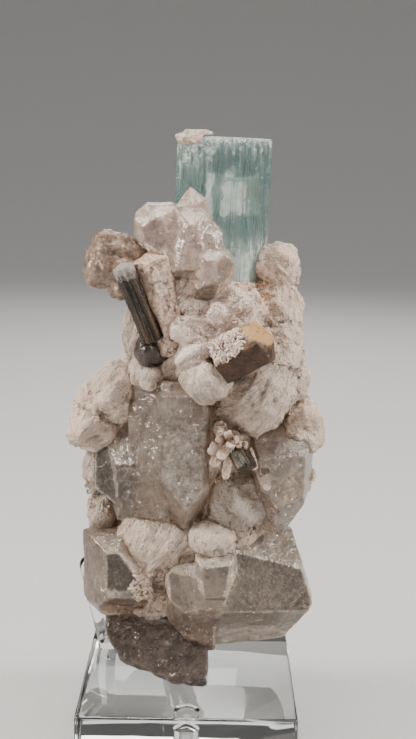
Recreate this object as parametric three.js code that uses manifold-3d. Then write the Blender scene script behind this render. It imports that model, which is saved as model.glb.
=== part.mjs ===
// Mineral specimen on a clear stand: aquamarine, apatite, quartz and schorl grown on white bladed albite.
// Millimetres, +Z up, seen from -Y. The origin is the middle of the stand's underside.
import * as THREE from "three";
import { ConvexGeometry } from "three/addons/geometries/ConvexGeometry.js";
import { mergeVertices } from "three/addons/utils/BufferGeometryUtils.js";
import Module from "manifold-3d";

const wasm = await Module();
wasm.setup();

// Clear stand: a square block, two round pegs that lean outwards and a plugged socket near the front
const BLOCK_SIDE = 50;
const BLOCK_HEIGHT = 20;
const BLOCK_BEVEL = 0.6;
const PEG_RADIUS = 2.4;
const PEG_SINK = 8;
const PEG_LEFT = { foot: [-20.5, 9, BLOCK_HEIGHT], tip: [-25.6, 7.5, 44.5] };
const PEG_BACK = { foot: [-1.5, 15, BLOCK_HEIGHT], tip: [3.5, 14, 47] };
const PLUG_RADIUS = 2.6;
const PLUG_HEIGHT = 14;
const PLUG_POINT = 1.6;
const PLUG_AT = [0, -17];
const ROUND_SIDES = 16;

// Room left between neighbouring pieces
const GAP = 0.3;
// Share of the wear that reaches an edge
const EDGE_WEAR = 0.6;

// Aquamarine: a six-sided prism with a flat end, one face towards the viewer
const AQUAMARINE = { root: [5.8, 6.5, 108], tip: [6.9, 6.5, 146.2], across: 19.4 };
const AQUAMARINE_EDGE_CUT = 0.45;
const AQUAMARINE_END_CUTS = [0.5, 0.4, 0.6, 0.8, 1.8, 1.3];

// Crust on the aquamarine's upper left corner
const CRUST = { at: [0.6, 1.6, 145.9], size: [4.4, 4.2, 1.6] };
const CRUST_LUMPS = 0.16;
const CRUST_GRAINS = 0.1;

// Crystals by their root, their tip and their width across the flats. Slope is the angle between the point's
// faces and the axis, and worn how far the edges and the tip are rounded off.
const APATITE = { root: [6.6, -14.5, 98.6], tip: [17.4, -17, 105.2], across: 9, roll: 20, slope: 62 };
const SCHORL_PRISM = { root: [-8, -14, 103.4], tip: [-14.8, -16, 120.2], across: 4.1, roll: 10, slope: 66 };
const SCHORL_STUB = { root: [9, -12, 81.6], tip: [12.8, -18.5, 75.8], across: 4.3, roll: 12, slope: 80 };

// Blocky crystals by their faces and by the box that their buried sides fill. A face is how far it turns from
// the viewer to the right and how far it rises, in degrees, and a point on it.
const QUARTZ_TOP = [
  {
    from: [-12.1, -13.6, 112],
    to: [-1, -4, 132],
    faces: [
      [-30, 35, -9.8, -11.6, 130],
      [-90, 48, -11, -9, 131],
      [0, 42, -6.7, -12.2, 130.8],
      [90, 40, -3.4, -9, 131],
      [28, 8, -4, -13, 126],
      [-55, -4, -11, -12, 126],
      [-50, -44, -9.9, -10.6, 122.6],
      [-90, -50, -10.8, -9, 122],
    ],
  },
  {
    from: [-4.5, -14.8, 110],
    to: [5.4, -3, 130.8],
    faces: [
      [0, 45, 0, -13.4, 129.4],
      [90, 45, 3.2, -9, 129.4],
      [45, 10, 4, -13, 123],
      [-40, 10, -3, -13.6, 124],
      [-90, 45, -3, -9, 130],
      [0, -60, -0.3, -13, 117.6],
    ],
  },
  {
    from: [1, -13.8, 115],
    to: [6.3, -4, 127.4],
    faces: [
      [40, 10, 5.2, -13, 125],
      [0, 45, 4.2, -12.8, 127],
      [90, 45, 5.6, -9, 127],
      [90, -45, 5.8, -9, 122],
      [20, -40, 4.5, -13, 122],
    ],
  },
  {
    from: [0.5, -16, 111],
    to: [8.6, -5, 122.6],
    faces: [
      [35, 0, 7, -15, 118.5],
      [90, 45, 7.4, -9, 122],
      [0, 45, 5, -15, 121.8],
      [4, -52, 4.4, -14, 114.4],
      [60, -40, 7.8, -12, 115.6],
      [-45, 0, 1.6, -15, 118],
      [90, -45, 7.6, -9, 115],
    ],
  },
  { root: [2.5, -5.5, 113], tip: [-0.6, -6.2, 135.6], across: 6.4, roll: 30, slope: 42 },
];
const QUARTZ_UPPER_LEFT = [
  { root: [-7, -6, 117.4], tip: [-22.6, -11, 120.6], across: 9.4, roll: 18, slope: 72 },
  { root: [-8, -7.5, 119.5], tip: [-20.8, -12.6, 124.4], across: 6, roll: 40, slope: 60 },
  { root: [-7, -7, 113.4], tip: [-17.4, -12.4, 116], across: 5.4, roll: 5, slope: 66 },
];
const QUARTZ_COLUMN = [
  { root: [-4.6, -10, 100.5], tip: [-8.8, -12.2, 122.4], across: 7.6, roll: 25, slope: 70 },
];
const SMOKY_KNOB = [
  { root: [-1.5, -8, 100.4], tip: [-12.8, -13.4, 100.8], across: 6.4, roll: 10, slope: 58, worn: 1 },
];
const QUARTZ_FRONT = [
  {
    from: [-14, -18, 57],
    to: [4.2, 2, 94],
    faces: [
      [12, 8, -2, -16.8, 75],
      [-34, 10, -8.7, -14.6, 81.2],
      [-40, -28, -6.1, -16, 70.2],
      [62, -28, 0.7, -16.4, 66.3],
      [60, 2, 3.4, -15, 78],
      [-78, 0, -13.6, -10, 80],
      [-150, -35, -1.4, -11.4, 58.2],
      [150, -35, -1.4, -11.4, 58.2],
    ],
  },
  {
    from: [-18, -16, 58],
    to: [-5, 2, 84],
    faces: [
      [-16, -6, -13.2, -12.8, 69],
      [-70, -6, -17.3, -9, 70],
      [-12, -50, -12.5, -11.4, 62.1],
      [180, -35, -12.5, -8, 60.5],
      [-22, 36, -14.5, -11.8, 76.5],
    ],
  },
  {
    from: [-21.4, -12, 58],
    to: [-12, 2, 80],
    faces: [
      [-22, 8, -18.4, -9.8, 72.6],
      [-60, -45, -19.6, -7.6, 66.1],
      [-20, 50, -18.5, -9, 78],
      [0, -60, -16, -8, 62],
      [-135, 0, -19.5, -1, 70],
    ],
  },
  {
    from: [-6.4, -18, 84],
    to: [1.4, -4, 92],
    faces: [
      [0, -55, -2.4, -16.6, 86.6],
      [-52, -16, -5.2, -16.4, 88.6],
      [52, -16, 0.4, -16.4, 88.6],
      [-90, -45, -5, -12, 87.6],
      [90, -45, 0.2, -12, 87.6],
    ],
  },
];
const QUARTZ_RIGHT = [
  {
    from: [10, -16, 56],
    to: [28.6, 4, 84],
    faces: [
      [-36, -24, 16.3, -12.4, 65.8],
      [30, -28, 22.1, -13.4, 65.5],
      [6, 8, 21.8, -13.6, 74.5],
      [74, -2, 27.8, -5, 71.8],
      [-74, 0, 13.1, -6, 69.5],
      [90, -30, 24.8, -8, 64],
      [-30, -50, 17.4, -9, 59.6],
      [180, -40, 21.4, -8.4, 57.6],
      [0, 50, 20, -9, 80.5],
      [90, 40, 28, 0, 77],
      [135, 10, 25.5, 0, 70],
    ],
  },
];
const QUARTZ_LOW_LEFT = [
  {
    from: [-24.4, -16, 34],
    to: [-9, 2, 57],
    faces: [
      [-52, 2, -20.8, -12.4, 50.8],
      [8, 4, -14.9, -15, 52],
      [4, -46, -14.3, -14.6, 43.3],
      [-44, -36, -20.7, -12, 40.5],
      [55, -40, -10.6, -12, 40.2],
      [60, 30, -11.4, -12, 51],
      [-90, -40, -22.4, -8, 39.6],
      [180, -40, -16.2, -8, 36],
      [-10, 62, -18, -12, 56.4],
      [-135, 10, -21.8, -1.5, 48],
    ],
  },
];
const QUARTZ_LOW_RIGHT = [
  {
    from: [-2, -16, 27],
    to: [28.5, 7, 56],
    faces: [
      [12, 12, 16.8, -12.5, 45.3],
      [30, 50, 16.7, -12.4, 51.3],
      [8, -38, 14.2, -13.2, 39.6],
      [-62, 0, 7.4, -14.2, 47],
      [90, 18, 25.3, -6, 51.5],
      [90, -27, 25.8, -6, 36],
      [90, -84, 14.6, -5, 28.6],
      [150, 20, 24, 4, 45],
      [180, -40, 14, 4, 32],
    ],
  },
  {
    from: [-5.2, -15.8, 40.2],
    to: [8, 2, 51.6],
    faces: [
      [-10, 2, -0.4, -15.6, 46.5],
      [-46, 0, -4.2, -14.8, 46],
      [-40, -40, -2.8, -14.6, 42.4],
      [0, -52, 1, -14.8, 41],
      [-90, -18, -4.8, -12, 45],
      [-90, -36, -3.7, -12, 43],
      [-90, -60, -2, -12, 41],
      [90, -60, 4.6, -12, 41],
      [-90, 45, -4.6, -12, 50],
      [0, 42, -0.4, -14.6, 50.6],
    ],
  },
  {
    from: [1.6, -17.4, 43.5],
    to: [10.4, 0, 56],
    faces: [
      [4, 6, 5.6, -17, 50],
      [0, -46, 6.3, -16.2, 44.6],
      [50, 0, 9.4, -16, 49.8],
      [-46, 0, 2.4, -16, 50],
      [-90, -35, 2.8, -13, 47],
      [-90, -52, 4.4, -13, 45],
      [90, -50, 8.4, -13, 44.4],
      [90, -22, 9.5, -13, 47.2],
      [0, 50, 5.3, -15.4, 53.6],
    ],
  },
  {
    from: [-8, -13, 28],
    to: [6.2, 2, 42],
    faces: [
      [-16, -14, 5.5, -11.4, 35],
      [-90, -43, -2, -8, 32.6],
      [-60, -20, -5, -8.6, 37],
      [90, -82, 1.5, -8, 28.2],
    ],
  },
];
const SMOKY_FOOT = [
  {
    from: [-19.5, -15, 20.4],
    to: [4.3, 2, 42],
    faces: [
      [-2, 28, -8.9, -8.4, 31.5],
      [-70, -30, -17.5, -8, 28.7],
      [-90, -35, -16.4, -6, 26.2],
      [-90, -78, -6.7, -6, 22.2],
      [-35, -48, -11, -10, 24],
      [0, -42, -2, -13.4, 22.4],
      [26, -14, 1.5, -13.6, 26],
      [-135, 0, -17, -2, 30],
    ],
  },
];

// Albite balls: middle, half widths, lean about the Y axis in degrees, and the direction their blades fan
// out from
const ALBITE_BALLS = [
  { at: [-21.8, -3.5, 82], size: [7.4, 8.5, 6.9], lean: 0, fan: [0.7, -0.2, 0.6] },
  { at: [-17, -4, 89.4], size: [7.2, 8.5, 7.6], lean: 20, fan: [0.6, -0.3, 0.7] },
  { at: [-11.8, -3, 104], size: [4.2, 7, 8.4], lean: 8, fan: [0.3, -0.2, 1] },
  { at: [19.4, 4, 117], size: [5.6, 7.5, 6.6], lean: 0, fan: [-1, 0, 0.4] },
  { at: [19.8, 2, 107], size: [6.3, 9, 8.6], lean: 0, fan: [-0.6, -0.5, 0.6] },
  { at: [20.2, -5, 98.6], size: [4.4, 6, 5], lean: 20, fan: [-0.4, -0.8, 0.4] },
  { at: [15, -8, 89.6], size: [10.4, 9.5, 8.2], lean: -28, fan: [-0.7, -0.3, -0.4] },
  { at: [25.4, -2.5, 81.2], size: [5.8, 8.5, 7.6], lean: 0, fan: [-0.9, -0.2, 0.3] },
  { at: [26.2, -1, 69.2], size: [3, 5, 5], lean: 0, fan: [-0.9, 0, 0.3] },
  { at: [3.4, -14, 94.6], size: [6, 6.5, 5], lean: 10, fan: [-0.6, -0.4, 0.6] },
  { at: [8.6, -6.5, 108], size: [8.6, 8, 8], lean: 0, fan: [0.5, -0.7, 0.3] },
  { at: [11.4, -8, 65.4], size: [8, 8, 7.4], lean: 20, fan: [-0.6, -0.2, 0.8] },
  { at: [-6, -7, 54.5], size: [13, 8, 11], lean: 0, fan: [0.5, 0, 0.9] },
  { at: [-21.6, -1.5, 70.4], size: [3.6, 6, 6], lean: 0, fan: [0.6, 0, 0.8] },
  { at: [-20.8, -1.5, 60.6], size: [4, 6, 6], lean: 0, fan: [0.6, 0, 0.8] },
  { at: [-9, -8, 95], size: [4.4, 6.5, 4.6], lean: 0, fan: [0.2, -0.6, 0.8] },
  { at: [-10.5, 9, 89], size: [9.5, 9, 10], lean: 15, fan: [0.4, 0.5, 0.7] },
  { at: [10, 12.5, 89], size: [12, 9.5, 12], lean: 0, fan: [-0.4, 0.4, 0.8] },
  { at: [-5, 13, 70], size: [13, 9, 12], lean: -20, fan: [0.3, 0.3, 0.9] },
  { at: [15, 11, 68], size: [10, 8, 10], lean: 0, fan: [-0.5, 0.3, 0.8] },
  { at: [-13, 7.5, 54], size: [10, 7.5, 8.5], lean: 0, fan: [0.4, 0.2, 0.9] },
  { at: [-17.6, 6, 47.6], size: [6.4, 6.4, 6.4], lean: 0, fan: [0.7, 0.2, 0.6] },
  { at: [-8.6, -5.5, 41.4], size: [6.4, 7, 7], lean: 0, fan: [0.3, 0.4, 0.9] },
  { at: [10, 9.5, 51], size: [12, 8, 9], lean: 0, fan: [-0.3, 0.3, 0.9] },
  { at: [3, 12, 107], size: [9.5, 7, 9.5], lean: 0, fan: [0.1, 0.4, 0.9] },
  { at: [-19.4, -2.5, 86], size: [7.6, 8.6, 7.2], lean: 0, fan: [0.7, -0.2, 0.6] },
  { at: [18.4, 5, 112], size: [6, 8, 6.4], lean: 0, fan: [-0.8, -0.3, 0.5] },
  { at: [20.4, -0.5, 102.6], size: [5.4, 8.6, 6.4], lean: 0, fan: [-0.5, -0.6, 0.5] },
  { at: [21, -1, 92.4], size: [6.2, 9, 7.4], lean: 0, fan: [-0.8, -0.3, 0.3] },
  { at: [22.6, -1, 75], size: [6, 8, 7], lean: 0, fan: [-0.9, -0.1, 0.3] },
  { at: [11.6, -5, 99], size: [9, 8, 8], lean: 0, fan: [-0.3, -0.6, 0.6] },
  { at: [-1, -7.6, 98.6], size: [9, 7.6, 7], lean: 0, fan: [0.2, -0.5, 0.8] },
  { at: [7.6, -6.4, 57.4], size: [9.4, 7.4, 6.6], lean: 0, fan: [-0.2, 0, 0.9] },
  { at: [5.4, -11.6, 57.4], size: [6.6, 5.2, 4.2], lean: 0, fan: [-0.2, 0, 0.9] },
  { at: [2, 2.5, 75], size: [20, 14, 33], lean: 0, fan: [0, 0, 1] },
  { at: [4, 2.5, 102], size: [13, 10, 14], lean: 0, fan: [0, 0, 1] },
];
const RIDGE_DEPTH = 0.09;
const RIDGE_UNEVENNESS = 0.3;
const BALL_SWELL = 0.05;
const BALL_RIDGES = 6;
const BALL_ROWS = 5;

// Stout albite blades: root, tip, width and thickness, and how the width changes from root to tip
const BLADE_SECTIONS = [{ along: 0, size: 0.9 }, { along: 0.75, size: 1 }, { along: 1, size: 0.5 }];
const ALBITE_BLADES = [
  { root: [4, -9, 115], tip: [-4.6, -11.4, 114.8], width: 4.2, thick: 3 },
  { root: [3, -10, 109.5], tip: [-5.2, -12.4, 112], width: 4.4, thick: 3.2 },
  { root: [4.5, -11, 106.5], tip: [-4.2, -15, 105.2], width: 6.2, thick: 4.4 },
  { root: [6.5, -12, 104], tip: [-2.8, -16.4, 98.4], width: 5.2, thick: 4.2 },
  { root: [8, -9, 107], tip: [4.6, -16.8, 110.6], width: 5, thick: 3 },
  { root: [12, -8, 108], tip: [12.6, -15.4, 113], width: 5, thick: 3 },
  { root: [9, -9, 84], tip: [6.2, -16.4, 83.6], width: 2.6, thick: 1.6 },
  { root: [9, -9, 82], tip: [4.4, -16.2, 79.4], width: 2.4, thick: 1.5 },
  { root: [8, -9, 80], tip: [7.6, -17, 75.2], width: 2.2, thick: 1.5 },
];

// Colours and finishes
const CLEAR_ACRYLIC = { color: 0xeef3f4, roughness: 0.05, metalness: 0, transparent: true, opacity: 0.3 };
const FROSTED = { color: 0xcfd4d4, roughness: 0.6, metalness: 0 };
const AQUA_GLASS = { color: 0x9fcfcc, roughness: 0.08, metalness: 0, transparent: true, opacity: 0.6 };
const ALBITE = { color: 0xded6cd, roughness: 0.75, metalness: 0 };
const QUARTZ = { color: 0xb7a698, roughness: 0.25, metalness: 0 };
const SMOKY = { color: 0x7a6a62, roughness: 0.2, metalness: 0 };
const SCHORL = { color: 0x1f1813, roughness: 0.3, metalness: 0 };
const APATITE_BROWN = { color: 0x8a654c, roughness: 0.4, metalness: 0 };
const CRUST_PINK = { color: 0xc9b1a2, roughness: 0.7, metalness: 0 };

const parts = new THREE.Group();

function vector(list) {
  return new THREE.Vector3(...list);
}

// Distances below which two points are one
const SAME_VERTEX = 1e-4;
const SAME_CORNER = 1e-3;

// A closed solid from a geometry, with only its positions kept
function solid(geometry) {
  const bare = geometry.clone();
  bare.deleteAttribute("normal");
  bare.deleteAttribute("uv");
  const merged = mergeVertices(bare, SAME_VERTEX);
  const vertProperties = new Float32Array(merged.attributes.position.array);
  const triVerts = new Uint32Array(merged.index.array);
  return new wasm.Manifold(new wasm.Mesh({ numProp: 3, vertProperties, triVerts }));
}

function unite(solids) {
  return solids.reduce((whole, piece) => whole.add(piece));
}

// The largest body of a cut solid, without the splinters
function mainBody(cut) {
  const bodies = cut.decompose();
  return bodies.reduce((best, body) => (body.volume() > best.volume() ? body : best));
}

function addPiece(name, shape, finish) {
  const mesh = shape.getMesh();
  const geometry = new THREE.BufferGeometry();
  geometry.setAttribute("position", new THREE.BufferAttribute(mesh.vertProperties, 3));
  geometry.setIndex(new THREE.BufferAttribute(mesh.triVerts, 1));
  geometry.computeVertexNormals();
  const piece = new THREE.Mesh(geometry, new THREE.MeshStandardMaterial(finish));
  piece.name = name;
  parts.add(piece);
}

// The convex solid inside a set of planes, each a unit normal and its distance from the origin
function insidePlanes(planes) {
  const corners = [];
  const inside = (point) => planes.every((plane) => plane.normal.dot(point) <= plane.reach + 1e-6);
  for (let i = 0; i < planes.length; i += 1) {
    for (let j = i + 1; j < planes.length; j += 1) {
      for (let k = j + 1; k < planes.length; k += 1) {
        const corner = meetingPoint(planes[i], planes[j], planes[k]);
        const fresh = corner && corners.every((other) => other.distanceTo(corner) > SAME_CORNER);
        if (fresh && inside(corner)) {
          corners.push(corner);
        }
      }
    }
  }
  return solid(new ConvexGeometry(corners));
}

function meetingPoint(a, b, c) {
  const bc = b.normal.clone().cross(c.normal);
  const volume = a.normal.dot(bc);
  if (Math.abs(volume) < 1e-6) {
    return null;
  }
  const ca = c.normal.clone().cross(a.normal);
  const ab = a.normal.clone().cross(b.normal);
  return bc.multiplyScalar(a.reach).addScaledVector(ca, b.reach).addScaledVector(ab, c.reach)
    .divideScalar(volume);
}

function plane(normal, through, grow) {
  return { normal, reach: normal.dot(through) + grow };
}

// Axis and six side directions of a crystal. Roll 0 turns one side as far as it goes towards the viewer.
function crystalFrame({ root, tip, roll = 0 }) {
  const axis = vector(tip).sub(vector(root)).normalize();
  const towards = new THREE.Vector3(0, -1, 0);
  const front = towards.addScaledVector(axis, -towards.dot(axis)).normalize();
  const sides = [0, 60, 120, 180, 240, 300].map((turn) =>
    front.clone().applyAxisAngle(axis, THREE.MathUtils.degToRad(turn + roll)));
  return { axis, sides };
}

// Planes of faces given by turn, rise and a point
function facePlanes(faces, grow) {
  return faces.map(([turn, rise, ...point]) => {
    const around = THREE.MathUtils.degToRad(turn);
    const up = THREE.MathUtils.degToRad(rise);
    const level = Math.cos(up);
    const normal = vector([Math.sin(around) * level, -Math.cos(around) * level, Math.sin(up)]);
    return plane(normal, vector(point), grow);
  });
}

// Planes of the six sides of a box
function boxPlanes(from, to, grow) {
  const axes = [[1, 0, 0], [0, 1, 0], [0, 0, 1]].map(vector);
  return axes.flatMap((axis) => [
    plane(axis, vector(to), grow),
    plane(axis.clone().negate(), vector(from), grow),
  ]);
}

// A blocky crystal has a box, a regular one an axis
function grownForm(form, grow = 0) {
  if (form.from) {
    return insidePlanes([...boxPlanes(form.from, form.to, grow), ...facePlanes(form.faces, grow)]);
  }
  return crystal(form, grow);
}

// Six-sided crystal with a flat root and a point of six faces. Wear trims its tip and its edges.
function crystal({ root, tip, across, roll, slope, worn = 0 }, grow = 0) {
  const { axis, sides } = crystalFrame({ root, tip, roll });
  const start = vector(root);
  const end = vector(tip);
  const apothem = across / 2;
  const corner = apothem / Math.cos(Math.PI / 6);
  const lean = THREE.MathUtils.degToRad(slope);
  const edgeLean = Math.atan(Math.tan(lean) / Math.cos(Math.PI / 6));
  const planes = [plane(axis.clone().negate(), start, grow)];
  sides.forEach((side) => {
    planes.push(plane(side, start.clone().addScaledVector(side, apothem), grow));
    planes.push(plane(slanted(axis, side, lean), end, grow));
    if (worn > 0) {
      const edge = side.clone().applyAxisAngle(axis, Math.PI / 6);
      planes.push(plane(slanted(axis, edge, edgeLean), end, grow - worn * EDGE_WEAR));
      planes.push(plane(edge, start.clone().addScaledVector(edge, corner), grow - worn * EDGE_WEAR));
    }
  });
  if (worn > 0) {
    planes.push(plane(axis, end.clone().addScaledVector(axis, -worn), grow));
  }
  return insidePlanes(planes);
}

// Direction of a face that leans by an angle from the axis, on one side of it
function slanted(axis, side, lean) {
  return axis.clone().multiplyScalar(Math.sin(lean)).addScaledVector(side, Math.cos(lean)).normalize();
}

// The aquamarine prism has narrow faces along its upright edges and around its flat end
function aquamarine(grow = 0) {
  const { axis, sides } = crystalFrame(AQUAMARINE);
  const root = vector(AQUAMARINE.root);
  const tip = vector(AQUAMARINE.tip);
  const apothem = AQUAMARINE.across / 2;
  const corner = apothem / Math.cos(Math.PI / 6);
  const planes = [plane(axis.clone().negate(), root, grow), plane(axis, tip, grow)];
  sides.forEach((side, k) => {
    const edge = side.clone().applyAxisAngle(axis, Math.PI / 6);
    const rim = side.clone().add(axis).normalize();
    const rimCorner = tip.clone().addScaledVector(side, apothem);
    planes.push(plane(side, root.clone().addScaledVector(side, apothem), grow));
    planes.push(plane(edge, root.clone().addScaledVector(edge, corner - AQUAMARINE_EDGE_CUT), grow));
    planes.push(plane(rim, rimCorner.addScaledVector(rim, -AQUAMARINE_END_CUTS[k]), grow));
  });
  return insidePlanes(planes);
}

// Ball of curved blades: every second meridian around the fan direction is a blade edge, the next a groove
function albiteBall({ at, size, lean, fan }) {
  const geometry = new THREE.SphereGeometry(1, 2 * BALL_RIDGES, BALL_ROWS);
  const position = geometry.attributes.position;
  const point = new THREE.Vector3();
  for (let i = 0; i < position.count; i += 1) {
    point.fromBufferAttribute(position, i);
    const turn = Math.atan2(point.z, point.x);
    const ring = Math.hypot(point.x, point.z);
    const uneven = 1 - RIDGE_UNEVENNESS * (1 - Math.sin(3 * turn + at[0]));
    const ridge = RIDGE_DEPTH * ring * uneven * Math.cos(BALL_RIDGES * turn);
    const swell = BALL_SWELL * Math.sin(2 * turn + at[2]) * Math.sin(3 * point.y + at[0]);
    point.multiplyScalar(1 + swell + ridge - RIDGE_DEPTH / 2);
    position.setXYZ(i, point.x, point.y, point.z);
  }
  const pole = vector(fan).normalize();
  geometry.applyQuaternion(new THREE.Quaternion().setFromUnitVectors(new THREE.Vector3(0, 1, 0), pole));
  geometry.scale(...size);
  geometry.rotateY(THREE.MathUtils.degToRad(lean));
  geometry.translate(...at);
  return solid(geometry);
}

// Stout tabular blade with a bevelled, slightly pointed end
function albiteBlade({ root, tip, width, thick }) {
  const axis = vector(tip).sub(vector(root));
  const length = axis.length();
  axis.normalize();
  const across = new THREE.Vector3(0, -1, 0).cross(axis).normalize();
  const through = axis.clone().cross(across);
  const outline = [[1, 0], [0.55, 1], [-0.55, 1], [-1, 0], [-0.55, -1], [0.55, -1]];
  const corners = [];
  for (const { along, size } of BLADE_SECTIONS) {
    const centre = vector(root).addScaledVector(axis, along * length);
    for (const [u, v] of outline) {
      corners.push(centre.clone()
        .addScaledVector(across, (u * size * width) / 2)
        .addScaledVector(through, (v * size * thick) / 2));
    }
  }
  return solid(new ConvexGeometry(corners));
}

// Low lump of crust, flattened on the corner it sits on
function crust() {
  const geometry = new THREE.IcosahedronGeometry(1, 2);
  const position = geometry.attributes.position;
  const point = new THREE.Vector3();
  for (let i = 0; i < position.count; i += 1) {
    point.fromBufferAttribute(position, i);
    const lump = CRUST_LUMPS * Math.sin(5 * point.x + 1) * Math.sin(6 * point.y);
    const grain = CRUST_GRAINS * Math.sin(9 * point.z + point.x);
    point.multiplyScalar(1 + lump + grain);
    position.setXYZ(i, point.x, point.y, point.z);
  }
  geometry.scale(...CRUST.size);
  geometry.translate(...CRUST.at);
  return solid(geometry);
}

// Round rod between two points, with a domed far end
function rod({ foot, tip }, radius, sink) {
  const axis = vector(tip).sub(vector(foot));
  const length = axis.length() + sink;
  axis.normalize();
  const profile = [new THREE.Vector2(0, 0), new THREE.Vector2(radius, 0)];
  for (const turn of [0, 30, 60]) {
    const angle = THREE.MathUtils.degToRad(turn);
    profile.push(new THREE.Vector2(radius * Math.cos(angle), length - radius + radius * Math.sin(angle)));
  }
  profile.push(new THREE.Vector2(0, length));
  const geometry = new THREE.LatheGeometry(profile, ROUND_SIDES);
  const turn = new THREE.Quaternion().setFromUnitVectors(new THREE.Vector3(0, 1, 0), axis);
  geometry.applyQuaternion(turn);
  geometry.translate(...vector(foot).addScaledVector(axis, -sink).toArray());
  return solid(geometry);
}

// Upright rod with a conical end, from the underside of the block
function plug(grow) {
  const radius = PLUG_RADIUS + grow;
  const height = PLUG_HEIGHT + grow;
  const profile = [[0, -grow], [radius, -grow], [radius, height], [0, height + PLUG_POINT]];
  const geometry = new THREE.LatheGeometry(profile.map((pair) => new THREE.Vector2(...pair)), ROUND_SIDES);
  geometry.rotateX(Math.PI / 2);
  geometry.translate(...PLUG_AT, 0);
  return solid(geometry);
}

function block() {
  const half = BLOCK_SIDE / 2;
  const planes = [];
  const middle = new THREE.Vector3(0, 0, BLOCK_HEIGHT / 2);
  const reach = [half, half, BLOCK_HEIGHT / 2];
  const signs = [-1, 0, 1];
  for (const x of signs) {
    for (const y of signs) {
      for (const z of signs) {
        const count = Math.abs(x) + Math.abs(y) + Math.abs(z);
        if (count === 1 || count === 2) {
          const normal = new THREE.Vector3(x, y, z).normalize();
          const outermost = new THREE.Vector3(x * reach[0], y * reach[1], z * reach[2]).add(middle);
          const cut = count === 2 ? -BLOCK_BEVEL * Math.SQRT1_2 : 0;
          planes.push(plane(normal, outermost, cut));
        }
      }
    }
  }
  return insidePlanes(planes);
}

// Rooms of the crystals placed so far, which are cut out of the pieces that come after them
const rooms = [];

function withRooms(shape) {
  return mainBody(rooms.reduce((left, room) => left.subtract(room), shape));
}

function addCrystals(name, forms, finish) {
  addPiece(name, withRooms(unite(forms.map((form) => grownForm(form)))), finish);
  rooms.push(unite(forms.map((form) => grownForm({ ...form, worn: 0 }, GAP))));
}

// Crystals, the ones in front of their neighbours first
addPiece("aquamarine_crystal", aquamarine(), AQUA_GLASS);
rooms.push(crystal({ ...AQUAMARINE, slope: 90 }, GAP));
addPiece("aquamarine_crust", mainBody(crust().subtract(aquamarine(GAP))), CRUST_PINK);
addCrystals("schorl_prism", [SCHORL_PRISM], SCHORL);
addCrystals("schorl_stub", [SCHORL_STUB], SCHORL);
addCrystals("apatite_crystal", [APATITE], APATITE_BROWN);
addCrystals("quartz_top_cluster", QUARTZ_TOP, QUARTZ);
addCrystals("quartz_column", QUARTZ_COLUMN, QUARTZ);
addCrystals("quartz_upper_left", QUARTZ_UPPER_LEFT, QUARTZ);
addCrystals("smoky_quartz_knob", SMOKY_KNOB, SMOKY);
addCrystals("quartz_front", QUARTZ_FRONT, QUARTZ);
addCrystals("quartz_right", QUARTZ_RIGHT, QUARTZ);
addCrystals("quartz_low_left", QUARTZ_LOW_LEFT, QUARTZ);
addCrystals("quartz_low_right", QUARTZ_LOW_RIGHT, QUARTZ);
addCrystals("smoky_quartz_foot", SMOKY_FOOT, SMOKY);

// Albite that everything grows from, with room for the crystals and for the pegs it leans on
const pegRooms = [PEG_LEFT, PEG_BACK].map((peg) => rod(peg, PEG_RADIUS + GAP, PEG_SINK + GAP));
rooms.push(...pegRooms);
const grownTogether = unite([...ALBITE_BALLS.map(albiteBall), ...ALBITE_BLADES.map(albiteBlade)]);
addPiece("albite_matrix", withRooms(grownTogether), ALBITE);

// Stand
const drilled = unite([...pegRooms, plug(GAP)]);
addPiece("stand_base", block().subtract(drilled), CLEAR_ACRYLIC);
addPiece("stand_peg_left", rod(PEG_LEFT, PEG_RADIUS, PEG_SINK), CLEAR_ACRYLIC);
addPiece("stand_peg_back", rod(PEG_BACK, PEG_RADIUS, PEG_SINK), CLEAR_ACRYLIC);
addPiece("stand_plug", plug(0), FROSTED);

export default parts;
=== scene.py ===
"""Looks of the mineral specimen on its clear stand: aquamarine, apatite, schorl and quartz on bladed albite.

The pieces are made over the CAD solids, in the CAD frame. Lengths are millimetres, and times MM metres.
"""
import itertools
import math

import bmesh
import bpy
import numpy as np
from mathutils import Euler, Matrix, Vector
from mathutils.bvhtree import BVHTree


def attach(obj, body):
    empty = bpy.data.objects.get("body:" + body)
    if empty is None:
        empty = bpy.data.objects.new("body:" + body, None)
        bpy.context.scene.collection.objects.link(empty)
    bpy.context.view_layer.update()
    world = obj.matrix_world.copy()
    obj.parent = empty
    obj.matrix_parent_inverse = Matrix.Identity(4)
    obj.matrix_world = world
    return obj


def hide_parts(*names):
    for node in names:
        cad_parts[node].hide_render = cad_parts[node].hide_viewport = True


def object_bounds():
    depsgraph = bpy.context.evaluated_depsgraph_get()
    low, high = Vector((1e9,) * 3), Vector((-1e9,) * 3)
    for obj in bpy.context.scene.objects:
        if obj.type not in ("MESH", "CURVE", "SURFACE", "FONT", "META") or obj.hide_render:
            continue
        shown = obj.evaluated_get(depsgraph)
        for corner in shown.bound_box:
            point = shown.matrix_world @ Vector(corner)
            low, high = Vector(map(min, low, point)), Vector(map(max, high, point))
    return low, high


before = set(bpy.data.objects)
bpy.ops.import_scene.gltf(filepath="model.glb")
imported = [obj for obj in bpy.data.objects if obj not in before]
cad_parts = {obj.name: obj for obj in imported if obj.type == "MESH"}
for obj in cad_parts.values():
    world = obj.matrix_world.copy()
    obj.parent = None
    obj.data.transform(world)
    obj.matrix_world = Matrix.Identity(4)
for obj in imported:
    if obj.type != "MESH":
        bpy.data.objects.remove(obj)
cad_low, cad_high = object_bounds()
scene = bpy.context.scene
MM = 0.001

# Camera: where it stands, how it is turned and its lens
CAMERA_AT = (4.5 * MM, -230.5 * MM, 145.5 * MM)
CAMERA_PITCH = -12.6
CAMERA_YAW = 0.18
CAMERA_ROLL = 0.79
LENS = 50.0
SENSOR = 36.0

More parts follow.
